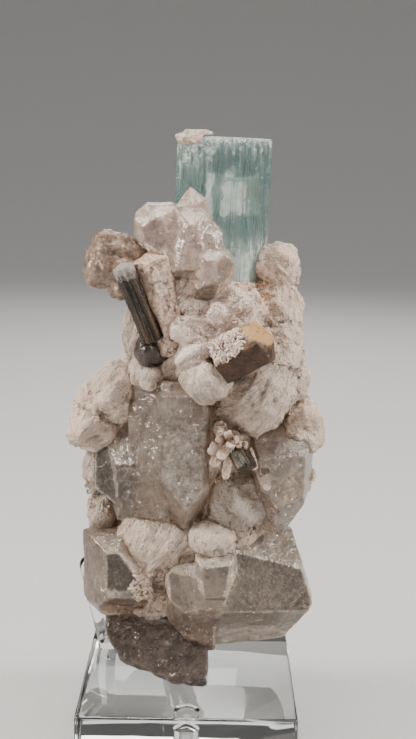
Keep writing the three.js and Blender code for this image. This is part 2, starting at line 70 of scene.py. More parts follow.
# Floor: how far it is flat, and the radius of the curve that it rises in, in metres
FLOOR_FLAT = 0.9
FLOOR_CURVE = 1.0
FLOOR_SIDES = 96
# Where the lights aim, in metres
LIGHT_AIM = (0.0, 0.0, 0.08)

# Albite rosettes, as in the CAD: middle, half widths, lean, the direction that the blades fan out from,
# and how grey the rosette is, from 0 for warm white to 1 for silver
ROSETTES = [
    ((-21.8, -3.5, 82), (7.4, 8.5, 6.9), 0, (0.7, -0.2, 0.6), 0.1),
    ((-17, -4, 89.4), (7.2, 8.5, 7.6), 20, (0.6, -0.3, 0.7), 0.1),
    ((-11.8, -3, 104), (4.2, 7, 8.4), 8, (0.3, -0.2, 1), 0.5),
    ((19.4, 4, 117), (5.6, 7.5, 6.6), 0, (-1, 0, 0.4), 0.0),
    ((19.8, 2, 107), (6.3, 9, 8.6), 0, (-0.6, -0.5, 0.6), 0.2),
    ((20.2, -5, 98.6), (4.4, 6, 5), 20, (-0.4, -0.8, 0.4), 0.4),
    ((15, -8, 89.6), (10.4, 9.5, 8.2), -28, (-0.7, -0.3, -0.4), 0.4),
    ((25.4, -2.5, 81.2), (5.8, 8.5, 7.6), 0, (-0.9, -0.2, 0.3), 0.1),
    ((26.2, -1, 69.2), (3, 5, 5), 0, (-0.9, 0, 0.3), 0.0),
    ((3.4, -14, 94.6), (6, 6.5, 5), 10, (-0.6, -0.4, 0.6), 0.5),
    ((8.6, -6.5, 108), (8.6, 8, 8), 0, (0.5, -0.7, 0.3), 0.0),
    ((11.4, -8, 65.4), (8, 8, 7.4), 20, (-0.6, -0.2, 0.8), 0.8),
    ((-6, -7, 54.5), (13, 8, 11), 0, (0.5, 0, 0.9), 0.2),
    ((-21.6, -1.5, 70.4), (3.6, 6, 6), 0, (0.6, 0, 0.8), 0.9),
    ((-20.8, -1.5, 60.6), (4, 6, 6), 0, (0.6, 0, 0.8), 0.8),
    ((-9, -8, 95), (4.4, 6.5, 4.6), 0, (0.2, -0.6, 0.8), 0.5),
    ((-10.5, 9, 89), (9.5, 9, 10), 15, (0.4, 0.5, 0.7), 0.2),
    ((10, 12.5, 89), (12, 9.5, 12), 0, (-0.4, 0.4, 0.8), 0.1),
    ((-5, 13, 70), (13, 9, 12), -20, (0.3, 0.3, 0.9), 0.3),
    ((15, 11, 68), (10, 8, 10), 0, (-0.5, 0.3, 0.8), 0.1),
    ((-13, 7.5, 54), (10, 7.5, 8.5), 0, (0.4, 0.2, 0.9), 0.4),
    ((-17.6, 6, 47.6), (6.4, 6.4, 6.4), 0, (0.7, 0.2, 0.6), 0.2),
    ((-8.6, -5.5, 41.4), (6.4, 7, 7), 0, (0.3, 0.4, 0.9), 0.1),
    ((10, 9.5, 51), (12, 8, 9), 0, (-0.3, 0.3, 0.9), 0.2),
    ((3, 12, 107), (9.5, 7, 9.5), 0, (0.1, 0.4, 0.9), 0.1),
    ((-19.4, -2.5, 86), (7.6, 8.6, 7.2), 0, (0.7, -0.2, 0.6), 0.1),
    ((18.4, 5, 112), (6, 8, 6.4), 0, (-0.8, -0.3, 0.5), 0.0),
    ((20.4, -0.5, 102.6), (5.4, 8.6, 6.4), 0, (-0.5, -0.6, 0.5), 0.3),
    ((21, -1, 92.4), (6.2, 9, 7.4), 0, (-0.8, -0.3, 0.3), 0.2),
    ((22.6, -1, 75), (6, 8, 7), 0, (-0.9, -0.1, 0.3), 0.1),
    ((11.6, -5, 99), (9, 8, 8), 0, (-0.3, -0.6, 0.6), 0.1),
    ((-1, -7.6, 98.6), (9, 7.6, 7), 0, (0.2, -0.5, 0.8), 0.4),
    ((7.6, -6.4, 57.4), (9.4, 7.4, 6.6), 0, (-0.2, 0, 0.9), 0.3),
    ((5.4, -11.6, 57.4), (6.6, 5.2, 4.2), 0, (-0.2, 0, 0.9), 0.3),
    ((2, 2.5, 75), (20, 14, 33), 0, (0, 0, 1), 0.3),
    ((4, 2.5, 102), (13, 10, 14), 0, (0, 0, 1), 0.3),
]

# Crystal axes that striations follow, root to tip
AQUAMARINE_AXIS = ((5.8, 6.5, 108), (6.9, 6.5, 146.2))
SCHORL_PRISM_AXIS = ((-8, -14, 103.4), (-14.8, -16, 120.2))
SCHORL_STUB_AXIS = ((9, -12, 81.6), (12.8, -18.5, 75.8))

# Clear stand, as in the CAD
BLOCK_SIDE = 50.0
BLOCK_HEIGHT = 20.0
BLOCK_EDGE = 0.6
PEG_RADIUS = 2.4
PEG_SINK = 8.0
PEG_LEFT = ((-20.5, 9, BLOCK_HEIGHT), (-25.6, 7.5, 44.5))
PEG_BACK = ((-1.5, 15, BLOCK_HEIGHT), (3.5, 14, 47))
PLUG_RADIUS = 2.6
PLUG_HEIGHT = 14.0
PLUG_POINT = 1.6
PLUG_AT = (0.0, -17.0)
TURNED_SIDES = 64
SOCKET_ROOM = 0.3

# Painted faces of the quartz: its turn from the viewer to the right and its rise, in degrees, its middle
# and reach, its colour, and its frost from 0 for glassy to 1 for sugary. The colours mix each face's own
# tone with painted light and shade, such as the lit BRIGHT face on the front.
BRIGHT = (0.76, 0.665, 0.575)
BEIGE = (0.66, 0.56, 0.475)
ROSY = (0.67, 0.545, 0.465)
BROWN = (0.51, 0.41, 0.33)
DARK = (0.10, 0.08, 0.063)
TOP_FACES = [
    (35, 0, (7, -15, 118.5), 7, (0.50, 0.39, 0.33), 0.2),
    (4, -45, (4.4, -14.5, 115), 14, (0.24, 0.185, 0.155), 0.75),
    (-30, 35, (-9.8, -11.6, 130), 6, (0.78, 0.67, 0.60), 0.3),
    (-15, 0, (-9.5, -14, 126.5), 5, (0.46, 0.38, 0.335), 0.0),
]
FRONT_FACES = [
    (12, 8, (-1.5, -16.8, 75), 14, BRIGHT, 0.4),
    (-34, 10, (-8.7, -14.6, 81), 14, (0.65, 0.555, 0.47), 0.25),
    (-40, -28, (-6, -15, 66), 13, BROWN, 0.3),
    (62, -28, (0.7, -14.5, 63), 10, BEIGE, 0.3),
    (-16, -6, (-13.2, -12.8, 69), 10, BROWN, 0.25),
    (-22, 8, (-18.4, -9.8, 72.6), 9, DARK, 0.7),
    (-60, -45, (-19.6, -7.6, 66), 8, DARK, 0.6),
]
RIGHT_FACES = [
    (-36, -24, (16.3, -12.4, 65.8), 10, ROSY, 0.2),
    (30, -28, (22.1, -13.4, 65.5), 9, (0.74, 0.645, 0.56), 0.25),
    (6, 8, (21.8, -13.6, 74.5), 9, (0.71, 0.615, 0.53), 0.35),
    (6, 8, (16.8, -13.6, 74.2), 1.5, (0.12, 0.085, 0.055), 0.95),
]
LOW_LEFT_FACES = [
    (-52, 2, (-20.8, -12.4, 48), 12, (0.53, 0.415, 0.325), 0.2),
    (4, -46, (-14.3, -12.6, 41), 9, (0.53, 0.43, 0.35), 0.2),
    (8, 4, (-14.9, -15, 50.4), 5.8, (0.085, 0.069, 0.055), 0.95),
]
LOW_RIGHT_FACES = [
    (12, 12, (18, -12.5, 45.5), 15, (0.158, 0.131, 0.108), 0.75),
    (30, 50, (20, -9, 52.5), 12, (0.57, 0.485, 0.405), 0.45),
    (8, -38, (16, -11.5, 36), 14, (0.345, 0.29, 0.24), 0.3),
    (-16, -14, (0, -12.5, 35), 9, (0.28, 0.205, 0.16), 0.2),
    (-10, 2, (-0.4, -15.6, 46), 8, (0.22, 0.186, 0.156), 0.3),
    (4, 6, (5.6, -17, 49), 8, (0.275, 0.235, 0.198), 0.4),
]

# How the paint of a face ends: over which angles in degrees, from which share of its reach, how raggedly
FACE_TURN = (14, 24)
FACE_EDGE = 0.82
FACE_RAGGED = 0.16

# Milky veils inside the aquamarine: middle, half widths, and the turn about the upright in degrees
VEILS = [
    ((4.2, 1.2, 133.4), (1.5, 0.35, 6.4), 8),
    ((10.2, 3, 133.4), (3.5, 0.6, 5.4), -6),
    ((7.4, 5.5, 128), (0.9, 0.25, 3.2), 30),
    ((1.2, 4, 138.6), (1.2, 0.25, 3.6), -20),
    ((13, 6, 126.4), (0.7, 0.3, 6), 15),
]

# Milky panels behind the front of the aquamarine: middle and half width across, low and high
PANELS = [
    (9, 3.9, 127.6, 138.4),
    (8.2, 1.6, 136, 140.6),
    (3.4, 1.1, 124, 140),
]


# Numbers on points

def hashed(cells, seed):
    """A fixed random number from 0 to 1 for each whole-number cell."""
    x, y, z = cells.astype(np.int64).T
    mixed = (x * 73856093) ^ (y * 19349663) ^ (z * 83492791) ^ (seed * 26544357)
    mixed = ((mixed ^ (mixed >> 13)) * 1274126177) & 0xFFFFFFFF
    mixed = mixed ^ (mixed >> 16)
    return (mixed & 0xFFFF) / 0xFFFF


def soft_noise(points, size, seed):
    """Smooth noise from -1 to 1 with lumps about as wide as size."""
    grid = points / size
    base = np.floor(grid)
    share = grid - base
    share = share * share * (3 - 2 * share)
    total = np.zeros(len(points))
    for corner in itertools.product((0, 1), repeat=3):
        weight = np.prod(np.where(corner, share, 1 - share), axis=1)
        total += weight * hashed(base + corner, seed)
    return 2 * total - 1


def layered_noise(points, size, seed, layers=3):
    """Soft noise with finer, weaker layers added."""
    total = np.zeros(len(points))
    for layer in range(layers):
        total += soft_noise(points, size / 2 ** layer, seed + layer) / 2 ** layer
    return total


def unit(rows):
    return rows / np.maximum(np.linalg.norm(rows, axis=-1, keepdims=True), 1e-12)


def step_up(values, low, high):
    """0 below low, 1 above high, smooth between them."""
    share = np.clip((values - low) / (high - low), 0, 1)
    return share * share * (3 - 2 * share)


# Meshes

def rows_of(items, key, width, kind):
    flat = np.empty(len(items) * width, kind)
    items.foreach_get(key, flat)
    return flat.reshape(-1, width)


def points_of(mesh):
    return rows_of(mesh.vertices, "co", 3, float)


def gap_from(points, middle):
    """How far each point is from a place."""
    return np.linalg.norm(points / MM - middle, axis=1)


def set_points(mesh, points):
    mesh.vertices.foreach_set("co", points.astype(np.float32).ravel())
    mesh.update()


def normals_of(mesh):
    return rows_of(mesh.vertex_normals, "vector", 3, np.float32).astype(float)


def edges_of(mesh):
    return rows_of(mesh.edges, "vertices", 2, np.int32)


def neighbour_means(values, edges):
    """The mean of each vertex's neighbours."""
    count = np.bincount(edges.ravel(), minlength=len(values))
    total = np.zeros_like(values)
    for axis, (one, other) in itertools.product(range(3), ((0, 1), (1, 0))):
        total[:, axis] += np.bincount(edges[:, one], values[edges[:, other], axis], len(values))
    return total / np.maximum(count, 1)[:, None]


def smoothed(values, edges, steps):
    for _ in range(steps):
        values = 0.5 * values + 0.5 * neighbour_means(values, edges)
    return values


def mesh_from(work, name):
    mesh = bpy.data.meshes.new(name)
    work.to_mesh(mesh)
    work.free()
    return mesh


def new_object(name, mesh):
    made = bpy.data.objects.new(name, mesh)
    scene.collection.objects.link(made)
    return made


def result_of(piece):
    """Applies a piece's modifiers and clears its materials."""
    found = piece.evaluated_get(bpy.context.evaluated_depsgraph_get())
    mesh = bpy.data.meshes.new_from_object(found)
    piece.modifiers.clear()
    piece.data = mesh
    mesh.materials.clear()
    mesh.shade_smooth()
    return mesh


def fine_copy(name, node, voxel, rounding):
    """An even fine mesh that stands for a CAD solid, its edges rounded by smoothing."""
    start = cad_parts[node].data.copy()
    work = bmesh.new()
    work.from_mesh(start)
    bmesh.ops.remove_doubles(work, verts=work.verts, dist=0.002 * MM)
    work.to_mesh(start)
    work.free()
    piece = new_object(name, start)
    even = piece.modifiers.new("even", "REMESH")
    even.mode = "VOXEL"
    even.voxel_size = voxel * MM * 1.0
    mesh = result_of(piece)
    set_points(mesh, smoothed(points_of(mesh), edges_of(mesh), rounding))
    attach(piece, "root")
    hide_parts(node)
    return piece


def dressed(piece, finish):
    piece.data.materials.append(finish)
    return piece


def push_out(piece, heights):
    """Moves the vertices along their normals, kept inside the CAD box."""
    mesh = piece.data
    moved = points_of(mesh) + normals_of(mesh) * heights[:, None]
    set_points(mesh, np.clip(moved, cad_low, cad_high))


def keep_values(mesh, name, values):
    """Stores a number or a vector for each vertex, for the material to read."""
    kind, key = ("FLOAT", "value") if values.ndim == 1 else ("FLOAT_VECTOR", "vector")
    mesh.attributes.new(name, kind, "POINT").data.foreach_set(key, values.astype(np.float32).ravel())


def face_way(turn, rise):
    """Direction that a face looks, from its turn and its rise in degrees."""
    around, up = math.radians(turn), math.radians(rise)
    return np.array((math.sin(around) * math.cos(up), -math.cos(around) * math.cos(up), math.sin(up)))


def paint_faces(piece, colour, frost, faces):
    """Stores each vertex's colour and frost: the crystal's own, or those of the face it lies on, whose
    colour holds painted light and shade.
    """
    points = points_of(piece.data)
    normals = normals_of(piece.data)
    tint = np.tile(colour, (len(points), 1))
    sugar = np.full(len(points), frost, float)
    ragged = layered_noise(points, 3 * MM, 51)
    for turn, rise, middle, reach, face_colour_and_shade, face_frost in faces:
        angle = np.degrees(np.arccos(np.clip(normals @ face_way(turn, rise), -1, 1)))
        gap = gap_from(points, middle) + FACE_RAGGED * reach * ragged
        share = (1 - step_up(angle, *FACE_TURN)) * (1 - step_up(gap, FACE_EDGE * reach, reach))
        tint += share[:, None] * (face_colour_and_shade - tint)
        sugar += share * (face_frost - sugar)
    keep_values(piece.data, "tint", tint)
    keep_values(piece.data, "frost", sugar)


def axis_frame(ends):
    """Root and direction of a crystal axis, and two directions across it."""
    root, tip = (np.array(end, float) * MM for end in ends)
    along = tip - root
    along = along / np.linalg.norm(along)
    side = unit(np.cross(along, (0.0, 1.0, 0.0)))
    return root, along, side, np.cross(along, side)


def search_tree(pieces):
    """One tree to find the nearest place on any of the pieces."""
    points, faces = [], []
    for piece in pieces:
        start = len(points)
        points += [tuple(v.co) for v in piece.data.vertices]
        faces += [tuple(start + k for k in f.vertices) for f in piece.data.polygons]
    return BVHTree.FromPolygons(points, faces)


def gap_to(tree, points, reach):
    """How far each point is from what is in the tree, at most reach."""
    gaps = np.full(len(points), reach)
    for k, point in enumerate(points):
        gap = tree.find_nearest(point, reach)[3]
        if gap is not None:
            gaps[k] = gap
    return gaps


# Materials

class Finish:
    """A node material under construction. Places are in the object's own coordinates, in metres."""

    def __init__(self, name):
        self.material = bpy.data.materials.new(name)
        self.material.use_nodes = True
        self.tree = self.material.node_tree
        self.shader = self.tree.nodes["Principled BSDF"]
        self.place = self.add("ShaderNodeTexCoord").outputs["Object"]
        self.colour = None

    def add(self, kind, *values, **settings):
        """A new node with these settings, whose first inputs take the values."""
        node = self.tree.nodes.new(kind)
        for key, value in settings.items():
            setattr(node, key, value)
        for socket, value in zip(node.inputs, values):
            self.put(socket, value)
        return node

    def put(self, socket, value):
        if isinstance(value, bpy.types.NodeSocket):
            self.tree.links.new(value, socket)
        elif hasattr(value, "__len__") and len(value) == 3 and len(socket.default_value) == 4:
            socket.default_value = (*value, 1.0)
        else:
            socket.default_value = value

    def fill(self, node, **values):
        """Sets or links inputs of a node, named with underscores for spaces."""
        for key, value in values.items():
            self.put(node.inputs[key.replace("_", " ")], value)

    def set(self, **values):
        self.fill(self.shader, **values)

    def math(self, operation, a, b=0.0):
        return self.add("ShaderNodeMath", a, b, operation=operation).outputs[0]

    def times(self, a, b):
        return self.math("MULTIPLY", a, b)

    def plus(self, a, b):
        return self.math("ADD", a, b)

    def minus(self, a, b):
        return self.math("SUBTRACT", a, b)

    def most(self, a, b):
        return self.math("MAXIMUM", a, b)

    def vector(self, operation, a, b):
        node = self.add("ShaderNodeVectorMath", a, b, operation=operation)
        return node.outputs["Value" if operation == "DISTANCE" else "Vector"]

    def noise(self, size, detail=2.0, roughness=0.5, place=None, distortion=0.0):
        """Noise with lumps about as wide as size, in the units of the place where one is given."""
        node = self.add("ShaderNodeTexNoise", place or self.place)
        self.fill(node, Scale=1.0 / (size if place else size * MM), Detail=detail)
        self.fill(node, Roughness=roughness, Distortion=distortion)
        return node.outputs[0]

    def cells(self, size, output="Distance"):
        node = self.add("ShaderNodeTexVoronoi", self.place)
        self.fill(node, Scale=1.0 / (size * MM))
        return node.outputs[output]

    def between(self, value, low, high, start=0.0, end=1.0):
        """start where value is low, end where it is high, smooth between them."""
        values = (value, low, high, start, end)
        return self.add("ShaderNodeMapRange", *values, interpolation_type="SMOOTHSTEP").outputs[0]

    def mix(self, share, a, b, mode="MIX"):
        node = self.add("ShaderNodeMix", share, data_type="RGBA", blend_type=mode)
        self.put(node.inputs[6], a)
        self.put(node.inputs[7], b)
        return node.outputs[2]

    def coat(self, share, colour):
        """Lays a colour over the colour so far."""
        self.colour = self.mix(share, self.colour, colour)

    def near(self, centre, inner, outer):
        """1 within inner of a point, 0 beyond outer."""
        gap = self.vector("DISTANCE", self.place, tuple(x * MM for x in centre))
        return self.between(gap, inner * MM, outer * MM, 1.0, 0.0)

    def stored(self, name, output):
        return self.add("ShaderNodeAttribute", attribute_name=name).outputs[output]

    def along(self, ends, stretch):
        """Coordinates with Z along a crystal axis, multiplied by stretch."""
        root, along, side, other = axis_frame(ends)
        node = self.add("ShaderNodeMapping", self.vector("SUBTRACT", self.place, tuple(root)))
        self.fill(node, Rotation=Matrix((side, other, along)).to_euler())
        return self.vector("MULTIPLY", node.outputs[0], stretch)

    def relief(self, *layers):
        """Bump layers as (height, depth), joined on the shader's normal."""
        normal = None
        for height, depth in layers:
            node = self.add("ShaderNodeBump")
            self.fill(node, Distance=depth * MM, Height=height)
            if normal is not None:
                self.fill(node, Normal=normal)
            normal = node.outputs[0]
        self.set(Normal=normal)

    def absorb(self, colour, density):
        """Colour that deepens with the thickness of a clear solid."""
        node = self.add("ShaderNodeVolumeAbsorption", colour, density)
        self.fill(self.tree.nodes["Material Output"], Volume=node.outputs[0])


def albite_finish():
    """Warm white folds with a grain and a sugary skin, brown in the hollows from a stain and painted shade,
    rusty beside the aquamarine.
    """
    f = Finish("albite")
    fan = f.stored("fan", "Vector")
    tone = f.stored("tone", "Fac")
    grain = f.noise(1, 3, 0.6, f.vector("MULTIPLY", fan, (1.5, 0.3, 0.2)))
    sugar = f.noise(0.45, 2, 0.6)
    clouds = f.noise(5, 4, 0.55)
    f.colour = f.mix(f.between(clouds, 0.3, 0.7), (0.69, 0.52, 0.415), (0.89, 0.71, 0.59))
    f.coat(f.times(tone, 0.8), (0.46, 0.41, 0.36))
    f.coat(f.between(grain, 0.5, 0.32, 0, 0.7), (0.37, 0.28, 0.205))
    f.coat(f.between(sugar, 0.6, 0.75, 0, 0.35), (0.89, 0.785, 0.705))
    stout = f.near((4, -15, 107.5), 8, 13)
    f.coat(f.times(stout, 0.85), (0.99, 0.83, 0.735))
    gully = f.times(f.near((-8, -11, 45), 5, 9), 0.8)
    pale = f.most(gully, f.times(stout, 0.35))
    # Brown in the hollows: partly a stain and partly painted shade, and only painted shade in the wide
    # crevices
    hollow_stain_and_shade = f.times(f.stored("hollow_stain_and_shade", "Fac"), f.minus(1, pale))
    stain_and_shade = f.times(hollow_stain_and_shade, f.between(f.noise(2.4, 3), 0.35, 0.6, 0.45, 1))
    f.coat(f.times(stain_and_shade, 0.85), (0.25, 0.175, 0.118))
    rust = f.times(f.near((14, -2, 112.5), 1.5, 8.5), f.between(f.noise(1.6, 4), 0.5, 0.64))
    f.coat(rust, (0.46, 0.215, 0.065))
    rust_high = f.times(f.near((21, 1, 117), 1, 7), f.between(f.noise(1.2, 4), 0.52, 0.66))
    f.coat(rust_high, (0.42, 0.22, 0.09))
    specks = f.between(f.noise(0.9, 3), f.plus(f.times(stout, 0.06), 0.64), 0.72)
    f.coat(f.times(specks, 0.65), (0.2, 0.13, 0.085))
    f.set(Base_Color=f.colour, Roughness=f.between(grain, 0.3, 0.7, 0.45, 0.7), IOR=1.53)
    f.set(Subsurface_Weight=0.06, Subsurface_Radius=(1, 0.8, 0.65), Subsurface_Scale=MM)
    f.relief((grain, 0.9), (f.noise(0.9, 3), 0.5), (sugar, 0.3))
    return f.material


def quartz_finish(name, clear, specks, body, density):
    """Cloudy quartz: each face's colour with its painted light and shade, and its frost, clouds, painted
    glints, pale speckling with painted sparkle, dark pits, and a body colour.
    """
    f = Finish(name)
    frost = f.stored("frost", "Fac")
    clouds = f.noise(6, 3)
    mottle = f.noise(1.7, 5, 0.75, distortion=0.4)
    sugar = f.minus(f.noise(0.5, 1), 0.5)
    # Painted glints: the colour brightens and darkens in fine grains, the more so on frosted faces
    glint = f.times(sugar, f.between(frost, 0, 1, 0.3, 1.8))
    shade = f.plus(f.between(clouds, 0.25, 0.75, 0.85, 1.1), glint)
    shade = f.times(shade, f.between(mottle, 0.3, 0.7, 0.55, 1.45))
    # The stored colour of each vertex holds the faces' painted light and shade
    f.colour = f.vector("MULTIPLY", f.stored("tint", "Vector"), shade)
    patches = f.between(f.noise(5), 0.4, 0.6, 0.2, 1)
    # Painted sparkle: frosted faces get more of the pale spots
    sparkle = f.plus(f.noise(1.3, 4, 0.65), f.between(frost, 0.6, 0.9, 0, 0.05))
    flecks_and_sparkle = f.times(f.between(sparkle, 0.6, 0.65, 0, 0.9), patches)
    f.coat(flecks_and_sparkle, f.vector("MULTIPLY", f.colour, (1.9, 1.85, 1.8)))
    pepper = f.minus(f.noise(1.1, 3, 0.6), f.between(frost, 0.55, 0.9, 0, 0.1))
    pits = f.times(f.between(pepper, 0.4, 0.34, 0, specks), patches)
    f.coat(pits, (0.06, 0.045, 0.035))
    f.colour = f.vector("MINIMUM", f.colour, (0.95, 0.95, 0.95))
    marks = f.most(f.most(flecks_and_sparkle, pits), frost)
    f.set(Base_Color=f.colour, Roughness=f.between(marks, 0, 1, 0.1, 0.36), IOR=1.54)
    f.set(Transmission_Weight=f.between(marks, 0.1, 0.9, clear, clear * 0.25))
    f.relief((f.noise(2, 3), 0.1), (f.times(f.cells(0.7), frost), 0.18), (sugar, 0.08))
    f.absorb(body, density)
    return f.material


def aquamarine_finish():
    """Clear blue-green beryl, striated along its length, with frosty etching and milky panels."""
    f = Finish("aquamarine")
    lines = f.noise(1, 2, 0.6, f.along(AQUAMARINE_AXIS, (2.2 / MM, 2.2 / MM, 0.02 / MM)))
    etched = f.noise(1.5, 5, 0.7)
    streaks = f.noise(1, 2, 0.6, f.along(AQUAMARINE_AXIS, (1.1 / MM, 1.1 / MM, 0.07 / MM)))
    x, y, z = f.add("ShaderNodeSeparateXYZ", f.place).outputs
    wander = f.times(f.minus(f.noise(2.2, 3), 0.5), 3 * MM)
    ragged = f.plus(z, f.times(f.minus(streaks, 0.5), 14 * MM))
    left = f.between(f.plus(x, wander), 6 * MM, -3 * MM, 0, 3 * MM)
    top = f.between(f.plus(ragged, left), 139.5 * MM, 146 * MM, 0, 0.9)
    foot = f.between(ragged, 128 * MM, 117 * MM)
    etching = f.between(etched, 0.3, 0.75, 0.15, 1)
    foot = f.times(foot, f.between(etched, 0.25, 0.6, 0.55, 1))
    frosty = f.most(f.times(top, etching), foot)
    frosty = f.most(frosty, f.between(streaks, 0.64, 0.74, 0, 0.6))
    behind = f.between(y, -1 * MM, -2 * MM)
    up = f.plus(z, wander)
    for place, wide, low, high in PANELS:
        across = f.math("ABSOLUTE", f.minus(f.plus(x, wander), place * MM))
        panel = f.between(across, wide * MM, 0.45 * wide * MM, 0, 0.9)
        panel = f.times(panel, f.between(lines, 0.3, 0.55, 0.55, 1))
        panel = f.times(panel, f.between(up, low * MM, (low + 3) * MM))
        panel = f.times(panel, f.between(up, high * MM, (high - 3) * MM))
        frosty = f.most(frosty, f.times(behind, panel))
    f.colour = f.mix(f.between(lines, 0.52, 0.34, 0, 0.9), (0.92, 0.985, 0.97), (0.38, 0.54, 0.52))
    frost = f.mix(f.between(etched, 0.35, 0.65), (0.50, 0.61, 0.585), (0.86, 0.915, 0.895))
    f.coat(frosty, frost)
    yellow = f.times(f.times(f.near((12.2, -3.2, 134.5), 0.8, 2.6), frosty), 0.7)
    f.coat(yellow, (0.80, 0.62, 0.33))
    f.set(Base_Color=f.colour, Transmission_Weight=f.between(frosty, 0, 1, 1, 0.35))
    f.set(Roughness=f.between(frosty, 0, 1, 0.03, 0.45), IOR=1.577)
    f.relief((lines, 0.6), (etched, 0.12))
    f.absorb((0.42, 0.80, 0.765), 32)
    return f.material


def veil_finish():
    """Milky growth veils inside the aquamarine, with a yellowish side."""
    f = Finish("aquamarine_veil")
    cloud = f.noise(1.4, 4)
    f.colour = f.mix(f.between(cloud, 0.35, 0.65), (0.70, 0.78, 0.76), (0.88, 0.91, 0.89))
    f.coat(f.times(f.near((13, 3, 134.5), 0.6, 2.4), 0.6), (0.78, 0.66, 0.38))
    f.set(Base_Color=f.colour, Roughness=f.between(cloud, 0.3, 0.7, 0.5, 0.8))
    f.set(Transmission_Weight=f.between(cloud, 0.35, 0.7, 0.7, 0.1), IOR=1.577)
    return f.material


def schorl_finish(name, ends, cap, sheen):
    """Black, glossy and striated, brownish along the striations from a painted sheen; cap is how far from
    the root the grey frosted end begins.
    """
    f = Finish(name)
    lines = f.noise(1, 3, 0.7, f.along(ends, (2.6 / MM, 2.6 / MM, 0.05 / MM)))
    height = f.add("ShaderNodeSeparateXYZ", f.along(ends, (1, 1, 1))).outputs[2]
    dust = f.noise(0.9, 4, 0.65)
    # Painted sheen: the striations are coloured brownish
    f.colour = f.mix(f.between(lines, 0.45, 0.7), (0.008, 0.006, 0.005), sheen)
    f.coat(f.between(dust, 0.66, 0.76, 0, 0.5), (0.2, 0.16, 0.12))
    ragged = f.plus(height, f.times(f.minus(dust, 0.5), 5 * MM))
    frosted = f.between(ragged, cap * MM, (cap + 2.5) * MM)
    f.coat(f.times(frosted, 0.8), (0.42, 0.38, 0.35))
    f.set(Base_Color=f.colour, Roughness=f.between(dust, 0.35, 0.7, 0.18, 0.4))
    f.set(IOR=1.64, Specular_IOR_Level=0.24)
    f.relief((lines, 0.3), (dust, 0.05))
    return f.material


def apatite_finish():
    """Brown and half clear, amber towards the upper right end, with pale patches and black specks."""
    f = Finish("apatite")
    clouds = f.noise(2.4, 4, 0.6)
    f.colour = f.mix(f.between(clouds, 0.35, 0.65), (0.045, 0.018, 0.0075), (0.115, 0.05, 0.02))
    edge = f.plus(f.near((14.4, -17.4, 107), 2.2, 6), f.times(f.minus(clouds, 0.5), 0.9))
    f.coat(f.between(edge, 0.3, 0.75, 0, 0.9), (0.62, 0.36, 0.15))
    pale = f.between(f.noise(0.9, 4, 0.65), 0.62, 0.74, 0, 0.45)
    f.coat(pale, (0.24, 0.15, 0.095))
    dots = f.between(f.noise(0.8), 0.61, 0.69)
    f.coat(f.times(dots, 0.9), (0.02, 0.013, 0.009))
    f.set(Base_Color=f.colour, Roughness=f.between(clouds, 0.3, 0.7, 0.32, 0.55))
    f.set(IOR=1.635, Specular_IOR_Level=0.22, Transmission_Weight=0.2)
    f.set(Subsurface_Weight=0.15, Subsurface_Radius=(1, 0.6, 0.35), Subsurface_Scale=1.2 * MM)
    f.relief((clouds, 0.15), (f.noise(0.6, 3), 0.08))
    return f.material


def crust_finish():
    """Pinkish beige sugary crust."""
    f = Finish("crust")
    grains = f.cells(0.5, "Color")
    clouds = f.noise(1.4, 4)
    f.colour = f.mix(f.between(clouds, 0.35, 0.65), (0.5, 0.37, 0.31), (0.74, 0.63, 0.56))
    f.colour = f.mix(0.18, f.colour, grains, "OVERLAY")
    f.set(Base_Color=f.colour, Roughness=f.between(clouds, 0.3, 0.7, 0.45, 0.75))
    f.relief((f.cells(0.5), 0.3), (clouds, 0.2))
    return f.material


def acrylic_finish():
    """Clear cast acrylic, polished, with faint smears."""
    f = Finish("clear_acrylic")
    smears = f.noise(9, 4, 0.6, distortion=1)
    f.set(Base_Color=(0.985, 0.995, 0.995), Roughness=f.between(smears, 0.5, 0.75, 0.015, 0.09), IOR=1.49)
    f.set(Transmission_Weight=1)
    f.relief((f.noise(14, 1), 0.04))
    return f.material


def frosted_finish():
    """Frosted acrylic of the plug, with turning marks."""
    f = Finish("frosted_acrylic")
    rings = f.noise(1, 2, 0.5, f.vector("MULTIPLY", f.place, (0.05 / MM, 0.05 / MM, 2.2 / MM)))
    f.set(Base_Color=f.mix(f.between(rings, 0.35, 0.65), (0.72, 0.74, 0.74), (0.86, 0.88, 0.88)))
    f.set(Roughness=f.between(rings, 0.3, 0.7, 0.35, 0.6), IOR=1.49, Transmission_Weight=0.6)
    f.relief((rings, 0.15))
    return f.material


def floor_finish():
    """Pale matt paper."""
    f = Finish("pale_floor")
    fibres = f.noise(2, 3)
    f.set(Base_Color=f.mix(f.between(fibres, 0.3, 0.7), (0.56, 0.557, 0.55), (0.58, 0.577, 0.57)))
    f.set(Roughness=0.85)
    return f.material


# Albite

# Albite this near to a crystal swells to meet it
CONTACT = 0.7 * MM
CONTACT_SWELL = 0.45 * MM
FILL_ROUNDS = 6
# Where the rosettes merge into one wall, and rounds of filling there
WALL_MIDDLE = (20, -2, 103)
WALL_REACH = 13.0
WALL_ROUNDS = 16
# How far behind a rosette's middle the plates of its fan meet, in radii
HINGE = 1.5

# Where stout blades stand apart and the hollows between them stay open
STOUT_MIDDLE = (3, -13, 107)
STOUT_REACH = 13.0

# Width and depth of the folds along the fans, the plates that overlap, and the lumps and grains on them
FOLD_WIDE, FOLD_DEEP = 3.2, 0.55
FINE_WIDE, FINE_DEEP = 1.4, 0.42
PLATE_WIDE, PLATE_DEEP = 4.2, 0.6
LUMP_WIDE, LUMP_DEEP = 7.0, 0.6
KNOB_WIDE, KNOB_DEEP = 1.5, 0.28
SUGAR_WIDE, SUGAR_DEEP = 0.7, 0.2
CREASE_DEEP = 0.25

# Low blades on the rosettes, and crumbs in the hollows between them
BLADE_COUNT = 260
CRUMB_COUNT = 900
